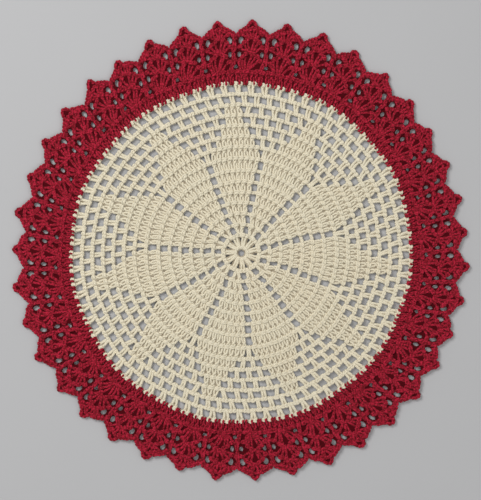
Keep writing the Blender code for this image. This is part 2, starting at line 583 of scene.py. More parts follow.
    def openings(self) -> list[np.ndarray]:
        """The gaps between posts that stand clear of each other.

        Returns:
            For each gap its corners on the flat pattern, halfway under the posts.
        """
        crowns, alongs, _, widths = self.frames()
        posts = [place for place, stitch in enumerate(self.stitches) if stitch.has_post]
        found: list[np.ndarray] = []
        for pair in zip(posts, posts[1:] + posts[:1]):
            legs = [self.legs(place) for place in pair]
            feet = [self.stitches[place].foot() for place in pair]
            tops = [self.post_top(crowns[place], alongs[place], widths[place]) for place in pair]
            corners = []
            clear = []
            for run in self.gap_runs:
                right, left = [foot + (top - foot) * run for foot, top in zip(feet, tops)]
                wide = float(np.linalg.norm(left - right))
                covered = sum(self.spread_at(post, run) + YARN.radius for post in legs)
                clear.append(wide - covered)
                tuck = (left - right) / max(wide, TINY) * min(self.gap_tuck, self.gap_share * wide)
                corners.append((right + tuck, left - tuck))
            if clear[1] >= self.least_gap:
                rights, lefts = zip(*corners)
                found.append(np.array(rights + lefts[::-1]))
        return found


class NetRow(NamedTuple):
    """A round of the centre: its radius, a block's stitches, and the gaps' chains, span and places."""

    top: float
    block: int
    chains: int
    span: float
    gaps: tuple[float, ...]


class Bridge(NamedTuple):
    """A bridge of chains over a gap: its middle and half its length, in degrees."""

    middle: float
    half: float


@dataclass(frozen=True)
class Centre:
    """The cream centre: a ring, eleven petals and the net around them."""

    lie: Lie
    ring_radius: float = 5.0
    ring_chains: int = 9
    ring_hole: float = 2.6
    first_top: float = 14.9
    first_foot: float = 5.3
    first_feet: float = 0.19
    pair_foot: float = 0.85
    first_span: float = 3.4
    spoke_from: float = 9.0
    spoke_to: float = 13.2
    spoke_wide: float = 2.4
    last_span: float = 3.4
    last_chain_drop: float = 0.8
    bridge_stray: float = 0.55
    bridge_swell: float = 0.35
    bridge_seed: int = 100
    last_top: float = 140.7
    ground_edge: float = 141.0
    ring_seed: int = 31
    rows: tuple[NetRow, ...] = (
        NetRow(23.8, 2, 2, 1.1, (0.8,)),
        NetRow(33.0, 3, 2, 2.0, (-1.9,)),
        NetRow(42.1, 4, 2, 3.0, (-1.7,)),
        NetRow(50.9, 5, 2, 3.8, (-1.7,)),
        NetRow(59.6, 6, 2, 3.5, (-1.4,)),
        NetRow(69.0, 8, 2, 3.9, (-1.1,)),
        NetRow(79.2, 9, 2, 4.0, (-0.8,)),
        NetRow(88.7, 9, 1, 3.2, (-2.5, 2.1)),
        NetRow(97.4, 7, 2, 4.2, (-5.2, 0.1, 5.6)),
        NetRow(106.2, 5, 2, 4.9, (-8.3, -2.7, 2.8, 8.5)),
        NetRow(114.7, 3, 2, 5.2, (-11.4, -5.5, -0.1, 5.4, 11.1)),
        NetRow(123.4, 3, 2, 5.2, (-12.2, -7.8, -2.9, 2.3, 7.4, 12.0)),
        NetRow(132.0, 2, 2, 5.6, (-14.5, -10.0, -5.3, -0.6, 4.2, 8.9, 13.7)),
    )

    @property
    def repeat(self) -> float:
        """The angle of one petal, in degrees."""
        return FULL_TURN / self.lie.petals

    @staticmethod
    def chains_at(angle: float, count: int, radius: float, span: float) -> list[Stitch]:
        """The chains that bridge a gap, from its clockwise end.

        Args:
            angle: the gap's middle.
            count: how many chains.
            radius: the round's radius.
            span: the length of the bridge in millimetres.

        Returns:
            The chain stitches.
        """
        step = degrees_of(span / count, radius)
        angles = [angle + ((count - 1) / 2.0 - place) * step for place in range(count)]
        return [Stitch(Kind.CHAIN, middle, radius) for middle in angles]

    @staticmethod
    def spread(low: float, high: float, count: int) -> list[float]:
        """The middles of equal shares of an angle, from its high end to its low end."""
        return [high + (low - high) * (place + 0.5) / count for place in range(count)]

    def ring(self) -> Round:
        """The chain ring that the first round is worked into."""
        angles = [place * FULL_TURN / self.ring_chains for place in range(self.ring_chains, 0, -1)]
        return Round("ring", [Stitch(Kind.CHAIN, a, self.ring_radius) for a in angles], self.ring_seed)

    def first_round(self) -> Round:
        """Eleven pairs worked into the ring, with one chain between them.

        Returns:
            The round.
        """
        stitches = []
        half = degrees_of(self.first_span, self.first_top) / 2.0
        for petal in range(self.lie.petals, 0, -1):
            middle = self.lie.ladder_angle + petal * self.repeat
            tops = self.spread(middle - self.repeat / 2.0 + half, middle + self.repeat / 2.0 - half, 2)
            for top, foot in zip(tops, (self.first_feet, -self.first_feet)):
                base = middle + foot * self.repeat
                stitches.append(Stitch(Kind.DOUBLE, top, self.first_top, base, self.first_foot))
            stitches += self.chains_at(middle - self.repeat / 2.0, 1, self.first_top, self.first_span)
        return Round("round_01", stitches, seed=1)

    def spokes(self) -> list[np.ndarray]:
        """The narrow gaps between the pairs of the first round.

        Returns:
            For each gap its corners on the flat pattern.
        """
        half = degrees_of(self.spoke_wide / 2.0, self.spoke_to)
        found = []
        for petal in range(self.lie.petals):
            middle = self.lie.ladder_angle + (petal + 0.5) * self.repeat
            corners = ((self.spoke_from, 0.0), (self.spoke_to, half), (self.spoke_to, -half))
            found.append(np.array([flat(radius, middle + turn) for radius, turn in corners]))
        return found

    @staticmethod
    def block_feet(below: Sequence[float], count: int) -> list[float]:
        """Where so many stitches stand on the tops of the block below, from the clockwise end."""
        inner = below[1:-1] if count == len(below) - 2 else below
        return np.linspace(inner[0], inner[-1], count).tolist()

    def bridges(self, row: NetRow, number: int) -> list[list[Bridge]]:
        """The chain bridges of a round, a little uneven.

        Args:
            row: the round's row in the table.
            number: which round it is.

        Returns:
            The bridges of each petal from the first.
        """
        draw = random.Random(self.bridge_seed + number)
        found: list[list[Bridge]] = [[] for _ in range(self.lie.petals)]
        for petal in found:
            for offset in row.gaps:
                stray = degrees_of(draw.uniform(-1.0, 1.0) * self.bridge_stray, row.top)
                half = degrees_of(row.span / 2.0 + draw.uniform(-1.0, 1.0) * self.bridge_swell, row.top)
                petal.append(Bridge(self.lie.ladder_angle + offset + stray, half))
        return found

    def petal_rounds(self) -> list[Round]:
        """The rounds from the second to the last but one.

        Returns:
            The rounds, from the inside outwards.
        """
        rounds = []
        first_middle = self.lie.ladder_angle + self.repeat / 2.0
        step = degrees_of(self.pair_foot, self.first_top)
        below = [first_middle + step, first_middle - step]
        gaps_below: list[float] = []
        foot_radius = self.first_top
        for number, row in enumerate(self.rows, start=2):
            gaps = [self.lie.ladder_angle + offset for offset in row.gaps]
            half = degrees_of(row.span / 2.0, row.top)
            block = self.spread(gaps[-1] + half, gaps[0] + self.repeat - half, row.block)
            if row.block == 2 and number > 2:
                middle = below[len(below) // 2]
                pair = degrees_of(self.pair_foot, foot_radius)
                feet = [middle + pair, middle - pair]
            else:
                feet = self.block_feet(below, row.block)
            bridges = self.bridges(row, number)
            stitches: list[Stitch] = []
            for petal in range(self.lie.petals, 0, -1):
                turn = petal * self.repeat
                here = bridges[petal - 1]
                after = bridges[petal % self.lie.petals][0]
                end = after.middle - after.half + turn + self.repeat
                tops = self.spread(here[-1].middle + here[-1].half + turn, end, row.block)
                for top, foot in zip(tops, feet):
                    stitches.append(Stitch(Kind.DOUBLE, top, row.top, foot + turn, foot_radius))
                for place in range(len(gaps) - 1, -1, -1):
                    bridge = here[place]
                    span = math.radians(bridge.half * 2.0) * row.top
                    stitches += self.chains_at(bridge.middle + turn, row.chains, row.top, span)
                    if place > 0:
                        foot = gaps_below[place - 1] + turn
                        low = here[place - 1].middle + here[place - 1].half + turn
                        high = bridge.middle - bridge.half + turn
                        stitches += self.pair(low, high, row.top, foot, foot_radius)
            rounds.append(Round(f"round_{number:02d}", stitches, seed=number))
            below = block
            gaps_below = gaps
            foot_radius = row.top
        return rounds

    def pair(self, low: float, high: float, top: float, foot: float, foot_radius: float) -> list[Stitch]:
        """Two stitches worked into one gap of the round below.

        Args:
            low: the angle where the pair's top ends against the clock.
            high: the angle where it ends with the clock.
            top: the radius of the round.
            foot: the angle of the gap below.
            foot_radius: the radius of the round below.

        Returns:
            The two stitches, the clockwise one first.
        """
        step = degrees_of(self.pair_foot, foot_radius)
        feet = (foot + step, foot - step)
        return [
            Stitch(Kind.DOUBLE, crown, top, base, foot_radius)
            for crown, base in zip(self.spread(low, high, 2), feet)
        ]

    def net_gaps(self) -> list[float]:
        """The gaps of the last round but one, which carry the last round's pairs."""
        first = [self.lie.ladder_angle + offset for offset in self.rows[-1].gaps]
        return [angle + petal * self.repeat for petal in range(self.lie.petals) for angle in first]

    def last_round(self) -> Round:
        """Pairs with two chains between them, one pair to each gap below.

        Returns:
            The round.
        """
        feet = sorted(self.net_gaps(), reverse=True)
        radius = self.last_top
        half = degrees_of(self.last_span / 2.0, radius)
        stitches = []
        for place, foot in enumerate(feet):
            after = feet[(place + 1) % len(feet)] - (FULL_TURN if place + 1 == len(feet) else 0.0)
            before = feet[place - 1] + (FULL_TURN if place == 0 else 0.0)
            low = (foot + after) / 2.0 + half
            high = (foot + before) / 2.0 - half
            stitches += self.pair(low, high, radius, foot, self.rows[-1].top)
            stitches += self.chains_at((foot + after) / 2.0, 2, radius, self.last_span)
        return Round("round_15", stitches, seed=15, chain_drop=self.last_chain_drop)

    def rounds(self) -> list[Round]:
        """All rounds of the centre, from the ring outwards."""
        return [self.ring(), self.first_round(), *self.petal_rounds(), self.last_round()]


class Place(NamedTuple):
    """Where a top loop of the border is: degrees from the scallop's middle, and its radius."""

    offset: float
    radius: float


def both_sides(*half: Point) -> tuple[Place, ...]:
    """The places of a shell's clockwise half, and then of its other half, which mirrors it."""
    return (*(Place(*spot) for spot in half), *(Place(-spot[0], spot[1]) for spot in reversed(half)))


class ShellRow(NamedTuple):
    """A round of shells: its tops with their feet's degrees, its chains, and its rib."""

    foot_radius: float
    tops: tuple[Place, ...]
    feet: tuple[float, ...]
    chains: tuple[Place, ...]
    rib: Place
    rib_foot: Place


class EdgeSpot(NamedTuple):
    """A top loop of the edging: degrees from the scallop's middle, and mm inside its usual place."""

    offset: float
    inset: float


class Hole(NamedTuple):
    """A gap of the border: degrees from the scallop's middle, radius, sizes in mm, and its tilt."""

    offset: float
    radius: float
    wide: float
    tall: float
    tilt: float


@dataclass(frozen=True)
class Border:
    """The red border: a solid round, three rounds of shells between ribs, and the edging."""

    lie: Lie
    edge: ScallopEdge
    centre: Centre
    hand: Hand = Hand(wander=0.55, lift=0.34)
    first_top: float = 150.2
    loop_inset: float = 1.75
    edging_depth: float = 1.3
    wrap_shift: float = 0.4
    wrap_apart: float = 1.1
    wrap_out: float = 0.5
    waist_gap: float = 0.2
    solid_leg: float = 1.10
    solid_foot: float = 0.85
    foot_rise: float = 1.5
    foot_sway: float = 0.9
    top_sway: float = 0.5
    sway_seed: int = 12
    first_shells: int = 17
    rows: tuple[ShellRow, ...] = (
        ShellRow(
            foot_radius=152.3,
            tops=(
                Place(3.1, 158.2), Place(2.0, 161.6), Place(1.05, 163.6),
                Place(-1.25, 163.6), Place(-2.2, 161.6), Place(-3.3, 158.2),
            ),
            feet=(0.95, 0.35, -0.25, -0.75, -1.35, -1.95),
            chains=(Place(-0.1, 165.2),),
            rib=Place(4.615, 159.4),
            rib_foot=Place(3.4, 150.6),
        ),
        ShellRow(
            foot_radius=165.4,
            tops=both_sides((3.3, 169.4), (2.2, 173.0), (1.15, 175.2)),
            feet=(1.25, 0.75, 0.22, -0.22, -0.75, -1.25),
            chains=(Place(0.0, 176.8),),
            rib=Place(4.5, 170.0),
            rib_foot=Place(4.615, 156.9),
        ),
        ShellRow(
            foot_radius=177.0,
            tops=both_sides((2.5, 179.8), (1.6, 182.0), (0.7, 183.4)),
            feet=(1.15, 0.7, 0.22, -0.22, -0.7, -1.15),
            chains=(Place(3.6, 179.6), Place(0.0, 184.6), Place(-3.6, 179.6)),
            rib=Place(4.5, 178.3),
            rib_foot=Place(4.5, 167.7),
        ),
    )
    holes: tuple[Hole, ...] = (
        Hole(3.0, 174.8, 4.0, 5.8, 8.0),
        Hole(-3.1, 174.8, 4.0, 5.8, -8.0),
        Hole(3.2, 163.8, 3.0, 4.4, 0.0),
        Hole(-3.4, 163.8, 3.0, 4.8, 0.0),
        Hole(4.9, 154.2, 3.8, 3.2, 0.0),
    )
    hole_corners: int = 8
    valley: EdgeSpot = EdgeSpot(4.615, 2.0)
    edging: tuple[EdgeSpot, ...] = (
        EdgeSpot(3.85, 0.8),
        EdgeSpot(3.1, 0.1),
        EdgeSpot(2.35, 0.0),
        EdgeSpot(1.65, 0.0),
    )
    knob: tuple[EdgeSpot, ...] = (
        EdgeSpot(0.92, 2.8),
        EdgeSpot(0.62, 0.9),
        EdgeSpot(0.0, -0.1),
        EdgeSpot(-0.62, 0.9),
        EdgeSpot(-0.92, 2.8),
    )
    ground_from: float = 141.3
    ground_inset: float = 2.4

    def first_round(self) -> Round:
        """The solid round: three stitches to each pair and gap of the last cream round.

        Returns:
            The round.
        """
        stitches = []
        middles = sorted(self.centre.net_gaps(), reverse=True)
        step = FULL_TURN / len(middles)
        foot_radius = self.centre.last_top + self.wrap_out
        apart = degrees_of(self.wrap_apart, foot_radius)
        shift = degrees_of(self.wrap_shift, foot_radius)
        for middle in middles:
            feet = (middle + step / 2.0 - apart, middle + shift, middle - step / 2.0 + apart)
            for place, foot in zip((1, 0, -1), feet):
                top = middle + place * (step / 3.0)
                stitches.append(Stitch(Kind.DOUBLE, top, self.first_top, foot, foot_radius))
        return Round(
            "round_16",
            stitches,
            seed=16,
            hand=self.hand,
            narrowest_leg=self.solid_leg,
            narrowest_foot=self.solid_foot,
            foot_rise=self.foot_rise,
        )

    def sways(self) -> list[tuple[float, ...]]:
        """How far each scallop's shells are swayed at each level.

        Returns:
            For each scallop, degrees at the feet of the first round and the tops of each round.
        """
        draw = random.Random(self.sway_seed)
        most = (self.foot_sway, self.top_sway)
        return [(*(draw.uniform(-m, m) for m in most), 0.0, 0.0) for _ in range(self.edge.count)]

    def shell_rounds(self) -> list[Round]:
        """The three rounds of shells, each with its rib in the valley.

        Returns:
            The rounds, from the inside outwards.
        """
        rounds = []
        sways = self.sways()
        for number, row in enumerate(self.rows):
            stitches = []
            for scallop in range(self.edge.count, 0, -1):
                middle = self.edge.tip(scallop)
                sway = sways[scallop - 1]
                foot = middle + row.rib_foot.offset
                crown = middle + row.rib.offset
                placed = [Stitch(Kind.RIB, crown, row.rib.radius, foot, row.rib_foot.radius)]
                for top, offset in zip(row.tops, row.feet):
                    crown = middle + top.offset + sway[number + 1]
                    foot = middle + offset + sway[number]
                    placed.append(Stitch(Kind.DOUBLE, crown, top.radius, foot, row.foot_radius))
                for top in row.chains:
                    placed.append(Stitch(Kind.CHAIN, middle + top.offset + sway[number + 1], top.radius))
                stitches += sorted(placed, key=lambda stitch: -stitch.top_angle)
            seed = number + self.first_shells
            rounds.append(Round(f"round_{seed}", stitches, seed, self.hand, waist_gap=self.waist_gap))
        return rounds

    def gaps(self) -> list[np.ndarray]:
        """The gaps of all scallops.

        Returns:
            For each gap its corners on the flat pattern.
        """
        turn = np.radians(np.arange(self.hole_corners) * FULL_TURN / self.hole_corners)
        found = []
        for scallop in range(self.edge.count):
            for hole in self.holes:
                angle = self.edge.tip(scallop) + hole.offset
                out = flat(1.0, angle)
                across = np.array([out[1], -out[0]])
                tilt = math.radians(hole.tilt)
                longways = across * math.cos(tilt) + out * math.sin(tilt)
                upways = out * math.cos(tilt) - across * math.sin(tilt)
                wide = np.outer(np.cos(turn) * hole.wide / 2.0, longways)
                tall = np.outer(np.sin(turn) * hole.tall / 2.0, upways)
                found.append(flat(hole.radius, angle) + wide + tall)
        return found

    def edging_round(self) -> Round:
        """Single crochet along the scallops, with a small knob on each tip.

        Returns:
            The round.
        """
        stitches = []
        for scallop in range(self.edge.count - 1, -1, -1):
            for spot in (self.valley, *self.edging):
                stitches.append(self.edging_stitch(scallop, spot.offset, spot.inset))
            for spot in self.knob:
                radius, angle = self.edge.point(scallop, 0.0, self.loop_inset + spot.inset)
                stitches.append(Stitch(Kind.CHAIN, angle + spot.offset, radius))
            for spot in reversed(self.edging):
                stitches.append(self.edging_stitch(scallop, -spot.offset, spot.inset))
        return Round("round_20", stitches, seed=20)

    def edging_stitch(self, scallop: int, offset: float, inset: float) -> Stitch:
        """One single crochet of the edging, standing on the last shells.

        Args:
            scallop: which scallop.
            offset: degrees from the scallop's middle.
            inset: how far it sinks inwards, in millimetres.

        Returns:
            The stitch.
        """
        radius, angle = self.edge.point(scallop, offset, self.loop_inset + inset)
        foot = self.edge.tip(scallop) + offset
        return Stitch(Kind.SINGLE, angle, radius, foot, radius - self.edging_depth)

    def rounds(self) -> list[Round]:
        """All rounds of the border, from the centre outwards."""
        return [self.first_round(), *self.shell_rounds(), self.edging_round()]


class Value:
    """A node's output that takes part in arithmetic."""

    def __init__(self, bench: Bench, socket: bpy.types.NodeSocket) -> None:
        """Keep the socket and the bench of its tree."""
        self.bench = bench
        self.socket = socket

    def also(self, output: str | int) -> Value:
        """Another output of the same node."""
        return Value(self.bench, self.socket.node.outputs[output])

    def maths(self, operation: str, *others: Value | float) -> Value:
        """A Math node on this value and others.

        Args:
            operation: the node's operation.
            others: the further inputs.

        Returns:
            The node's result.
        """
        values = dict(enumerate((self, *others)))
        return self.bench.node("ShaderNodeMath", {"operation": operation}, values)

    def __add__(self, other: Value | float) -> Value:
        """Add."""
        return self.maths("ADD", other)

    def __radd__(self, other: float) -> Value:
        """Add to a number."""
        return self.maths("ADD", other)

    def __sub__(self, other: Value | float) -> Value:
        """Take away."""
        return self.maths("SUBTRACT", other)

    def __rsub__(self, other: float) -> Value:
        """Take from a number."""
        return self.maths("MULTIPLY_ADD", -1.0, other)

    def __mul__(self, other: Value | float) -> Value:
        """Multiply."""
        return self.maths("MULTIPLY", other)

    def __rmul__(self, other: float) -> Value:
        """Multiply a number."""
        return self.maths("MULTIPLY", other)

    def cosine(self) -> Value:
        """The cosine of an angle in radians."""
        return self.maths("COSINE")

    def turned_to(self, other: Value) -> Value:
        """The angle whose sine and cosine go as this value and the other."""
        return self.maths("ARCTAN2", other)


class Bench:
    """A node tree with short ways to add to it."""

    def __init__(self, tree: bpy.types.NodeTree) -> None:
        """Clear the tree and keep it."""
        self.tree = tree
        self.tree.nodes.clear()

    def node(
        self,
        kind: str,
        settings: dict[str, object] | None = None,
        values: dict[str | int, object] | None = None,
        output: str | int = 0,
    ) -> Value:
        """Add a node.

        Args:
            kind: the node's type.
            settings: its properties, set first.
            values: numbers, colours or links for its sockets, by name or place.
            output: the output that is wanted.

        Returns:
            That output.
        """
        made = self.tree.nodes.new(kind)
        for key, setting in (settings or {}).items():
            setattr(made, key, setting)
        for key, value in (values or {}).items():
            if isinstance(value, Value):
                self.tree.links.new(value.socket, made.inputs[key])
            else:
                made.inputs[key].default_value = value
        return Value(self, made.outputs[output] if made.outputs else made.inputs[0])

    def noise(self, where: Value, scale: float, detail: float = 2.0) -> Value:
        """Soft noise between 0 and 1 at so many features to the metre."""
        return self.node("ShaderNodeTexNoise", {}, {"Vector": where, "Scale": scale, "Detail": detail})

    def blend(self, factor: Value | float, first: object, second: object) -> Value:
        """One colour turning into another."""
        values = {"Factor": factor, 6: first, 7: second}
        return self.node("ShaderNodeMix", {"data_type": "RGBA"}, values, output=2)

    def store(self, name: str, data_type: str, points: Value, value: Value) -> Value:
        """Store a value on the points of a geometry under a name."""
        values = {"Geometry": points, "Name": name, "Value": value}
        return self.node("GeometryNodeStoreNamedAttribute", {"data_type": data_type}, values)

    def surface(self, values: dict[str, object]) -> None:
        """End a material's tree in a surface with these values and links."""
        shader = self.node("ShaderNodeBsdfPrincipled", {}, values)
        self.node("ShaderNodeOutputMaterial", {}, {"Surface": shader})


def new_material(name: str) -> tuple[bpy.types.Material, Bench, Value]:
    """Start a material.

    Args:
        name: the material's name.

    Returns:
        The material, the bench of its empty tree, and the Object coordinates.
    """
    material = bpy.data.materials.new(name)
    material.use_nodes = True
    bench = Bench(material.node_tree)
    return material, bench, bench.node("ShaderNodeTexCoord", output="Object")


def rgba(colour: Colour) -> tuple[float, float, float, float]:
    """A colour with a full alpha."""
    return (*colour, 1.0)


class Spin(Enum):
    """What a finish is laid on: spun yarn, or the ground sheet behind it, whose darker finish is painted
    shade.
    """

    YARN = "yarn"
    GROUND = "ground"


@dataclass(frozen=True)
class CottonFinish:
    """Matt cotton in one dye: plies, grooves between them darkened with painted shade, loose fibres and
    uneven colour.
    """

    name: str
    light: Colour
    deep: Colour
    tinge: Colour
    # The colour deep between the plies: painted shade.
    shaded_groove: Colour
    spin: Spin = Spin.YARN
    plies: int = 3
    lay_length: float = 6.5
    drift_scale: float = 28.0
    patch_scale: float = 160.0
    patch_share: float = 0.25
    fleck_scale: float = 620.0
    fleck_from: float = 0.36
    fleck_to: float = 0.66
    fleck: float = 0.45
    fibre_scale: float = 2600.0
    fibre_height: float = 0.5
    groove_shade_share: float = 0.55
    groove_edge: float = 2.2
    roughness: float = 0.86
    rough_swing: float = 0.14
    sheen: float = 0.18
    sheen_roughness: float = 0.6
    gloss: float = 0.25
    bump: float = 0.55
    bump_depth: float = 0.25

    def make(self) -> bpy.types.Material:
        """The material.

        Returns:
            A new material with its own nodes.
        """
        material, bench, where = new_material(self.name)
        material.diffuse_color = rgba(self.light)
        drift = bench.noise(where, self.drift_scale)
        patch = bench.noise(where, self.patch_scale)
        fibre = bench.noise(where, self.fibre_scale, detail=3.0)
        fleck = bench.noise(where, self.fleck_scale, detail=1.0)
        reach = {"From Min": self.fleck_from, "From Max": self.fleck_to, "To Max": self.fleck}
        fleck = bench.node("ShaderNodeMapRange", {}, {"Value": fleck, **reach})
        shaded_groove = self.grooves(bench) if self.spin is Spin.YARN else fibre
        colour = bench.blend(drift, rgba(self.light), rgba(self.tinge))
        colour = bench.blend(patch * self.patch_share, colour, rgba(self.deep))
        colour = bench.blend(fleck, colour, rgba(self.deep))
        # Painted shade: the colour darkens towards the groove colour deep between the plies (on a
        # ground, at random with the fibre noise).
        colour = bench.blend(shaded_groove * self.groove_shade_share, colour, rgba(self.shaded_groove))
        height = fibre * self.fibre_height - shaded_groove
        raised = {"Strength": self.bump, "Distance": self.bump_depth * MM, "Height": height}
        bench.surface(
            {
                "Base Color": colour,
                "Roughness": fibre * self.rough_swing + (self.roughness - self.rough_swing / 2.0),
                "Normal": bench.node("ShaderNodeBump", {}, raised),
                "Sheen Weight": self.sheen,
                "Sheen Roughness": self.sheen_roughness,
                "Specular IOR Level": self.gloss,
            }
        )
        return material

    def grooves(self, bench: Bench) -> Value:
        """How deep between two plies each point lies; this sets the bump there and the painted shade.

        Args:
            bench: the bench of the material.

        Returns:
            Values from 0 on a ply to 1 deepest between two plies.
        """
        around = bench.node("ShaderNodeAttribute", {"attribute_name": "around"}, output="Vector")
        across = bench.node("ShaderNodeSeparateXYZ", {}, {0: around})
        angle = across.also("Y").turned_to(across)
        along = bench.node("ShaderNodeAttribute", {"attribute_name": "along"}, output="Fac")
        turns = along * (self.plies * math.tau / (self.lay_length * MM))
        wave = (angle * float(self.plies) + turns).cosine() * 0.5 + 0.5
        return wave.maths("POWER", self.groove_edge)


CREAM = CottonFinish(
    name="cream_cotton",
    light=(0.76, 0.71, 0.56),
    deep=(0.62, 0.58, 0.445),
    tinge=(0.79, 0.69, 0.51),
    # painted shade between the plies
    shaded_groove=(0.46, 0.40, 0.27),
)
# A shaded copy of the cream: painted shade for the ground sheet seen between the strands.
CREAM_SHADE_GROUND = CottonFinish(
    name="cream_ground_painted_shade",
    light=(0.43, 0.38, 0.28),
    deep=(0.18, 0.14, 0.09),
    tinge=(0.46, 0.40, 0.30),
    shaded_groove=(0.34, 0.29, 0.20),
    fleck=1.0,
    spin=Spin.GROUND,
)
RED = CottonFinish(
    name="red_cotton",
    light=(0.50, 0.012, 0.042),
    deep=(0.16, 0.001, 0.006),
    tinge=(0.54, 0.016, 0.050),
    # painted shade between the plies
    shaded_groove=(0.06, 0.001, 0.002),
    fleck=1.05,
    sheen=0.04,
    gloss=0.16,
)
# A shaded copy of the red, darker still: painted shade for the ground sheet seen between the strands.
RED_SHADE_GROUND = CottonFinish(
    name="red_ground_painted_shade",
    light=(0.085, 0.003, 0.006),
    deep=(0.06, 0.002, 0.004),
    tinge=(0.085, 0.003, 0.006),
    shaded_groove=(0.02, 0.001, 0.002),
    sheen=0.0,
    gloss=0.05,
    spin=Spin.GROUND,
)


@dataclass(frozen=True)
class FloorFinish:
    """A plain pale floor with a faint unevenness in its tone."""

    tone: Colour = (0.42, 0.42, 0.425)
    shade: float = 0.97
    speck_scale: float = 9.0
    roughness: float = 0.9

    def make(self) -> bpy.types.Material:
        """The material.

        Returns:
            A new material with its own nodes.
        """
        material, bench, where = new_material("pale_floor")
        speck = bench.noise(where, self.speck_scale)
        darker = tuple(self.shade * part for part in self.tone)
        colour = bench.blend(speck, rgba(self.tone), rgba(darker))
        bench.surface({"Base Color": colour, "Roughness": self.roughness})
        return material


@dataclass(frozen=True)
class Yarn:
    """The yarn's own sizes, and the node tree that spins it along a line."""

    radius: float = 1.0
    sides: int = 6
    unevenness: float = 0.20
    swells_to_metre: float = 330.0
    seed: int = 7

    def tree(self) -> bpy.types.NodeTree:
        """The node tree that turns a closed line of edges into yarn.

        Returns:
            The tree, with its sizes as named inputs.
        """
        tree = bpy.data.node_groups.new("Spin yarn", "GeometryNodeTree")
        kinds = {
            "Geometry": "Geometry",
            "Yarn radius": "Float",
            "Sides": "Int",
            "Thick and thin": "Float",
            "Seed": "Float",
            "Material": "Material",
        }
        for name, kind in kinds.items():
            tree.interface.new_socket(name, in_out="INPUT", socket_type="NodeSocket" + kind)
        tree.interface.new_socket("Geometry", in_out="OUTPUT", socket_type="NodeSocketGeometry")
        bench = Bench(tree)
        given = bench.node("NodeGroupInput")
        line = bench.node("GeometryNodeMeshToCurve", {}, {"Mesh": given})
        length = bench.node("GeometryNodeSplineParameter", output="Length")
        line = bench.store("along", "FLOAT", line, length)
        sizes = {"Resolution": given.also("Sides"), "Radius": given.also("Yarn radius")}
        ring = bench.node("GeometryNodeCurvePrimitiveCircle", {}, sizes)
        spot = bench.node("GeometryNodeInputPosition")
        unit = bench.node("ShaderNodeVectorMath", {"operation": "NORMALIZE"}, {0: spot})
        ring = bench.store("around", "FLOAT_VECTOR", ring, unit)
        grain = {"W": given.also("Seed"), "Scale": self.swells_to_metre}
        noise = bench.node("ShaderNodeTexNoise", {"noise_dimensions": "4D"}, grain)
        swell = (noise - 0.5) * given.also("Thick and thin") * 2.0 + 1.0
        sweep = {"Curve": line, "Profile Curve": ring, "Scale": swell}
        yarn = bench.node("GeometryNodeCurveToMesh", {}, sweep)
        yarn = bench.node("GeometryNodeSetShadeSmooth", {}, {"Geometry": yarn})
        yarn = bench.node("GeometryNodeRealizeInstances", {}, {"Geometry": yarn})
        dyed = {"Geometry": yarn, "Material": given.also("Material")}
        yarn = bench.node("GeometryNodeSetMaterial", {}, dyed)
        bench.node("NodeGroupOutput", {}, {"Geometry": yarn})
        return tree

    def guide(self, name: str, line: np.ndarray) -> bpy.types.Object:
        """The closed line of edges that the yarn follows.

        Args:
            name: the object's name.
            line: rows of x, y and z in metres.

        Returns:
            The object.
        """
        start = np.arange(len(line))
        edges = np.stack([start, np.roll(start, -1)], -1)
        mesh = bpy.data.meshes.new(name)
        mesh.vertices.add(len(line))
        mesh.vertices.foreach_set("co", line.astype(np.float32).ravel())
        mesh.edges.add(len(edges))
        mesh.edges.foreach_set("vertices", edges.astype(np.int32).ravel())
        mesh.update()
        return linked(name, mesh)

    def spin(
        self, name: str, line: np.ndarray, tree: bpy.types.NodeTree, finish: bpy.types.Material
    ) -> bpy.types.Object:
        """Spin yarn along a closed line.

        Args:
            name: the piece's name.
            line: rows of x, y and z in metres.
            tree: the node tree.
            finish: the yarn's material.

        Returns:
            The finished piece, a plain mesh at the origin.
        """
        guide = self.guide(name + "_guide", line)
        modifier = guide.modifiers.new("Spin yarn", "NODES")
        modifier.node_group = tree
        inputs = {
            "Yarn radius": self.radius * MM,
            "Sides": self.sides,
            "Thick and thin": self.unevenness,
            "Seed": float(self.seed),
            "Material": finish,
        }
        for item in tree.interface.items_tree:
            if item.in_out == "INPUT" and item.name in inputs:
                modifier[item.identifier] = inputs[item.name]
        return linked(name, plain_mesh(guide, name))


YARN = Yarn()


@dataclass(frozen=True)
class ShadedGround:
    """A thin sheet that closes the cloth between the strands of a part; its dark finish is painted shade
    in the gaps between them.
    """

    name: str
    low: float = 1.7
    thick: float = 0.6

    def build(self, outlines: Sequence[np.ndarray], finish: bpy.types.Material) -> bpy.types.Object:
        """Fill an outline with its holes.

        Args:
            outlines: rows of x and y in metres, the outer edge first and then the holes.
            finish: the material.

        Returns:
            The ground, a closed thin sheet.
        """
        curve = bpy.data.curves.new(self.name, "CURVE")
        curve.dimensions = "2D"
        curve.fill_mode = "BOTH"
        curve.extrude = self.thick * MM / 2.0
        for outline in outlines:
            spline = curve.splines.new("POLY")
            spline.points.add(len(outline) - 1)
            rows = np.pad(outline, ((0, 0), (0, 2)))
            rows[:, 3] = 1.0
            spline.points.foreach_set("co", rows.ravel())
            spline.use_cyclic_u = True
        mesh = plain_mesh(linked(self.name + "_outline", curve), self.name)
        work = bmesh.new()
        work.from_mesh(mesh)
        bmesh.ops.remove_doubles(work, verts=work.verts, dist=TINY)
        bmesh.ops.recalc_face_normals(work, faces=work.faces)
        work.to_mesh(mesh)
        work.free()
        mesh.transform(Matrix.Translation((0.0, 0.0, (self.low + self.thick / 2.0) * MM)))
        mesh.materials.clear()
        mesh.materials.append(finish)
        return linked(self.name, mesh)


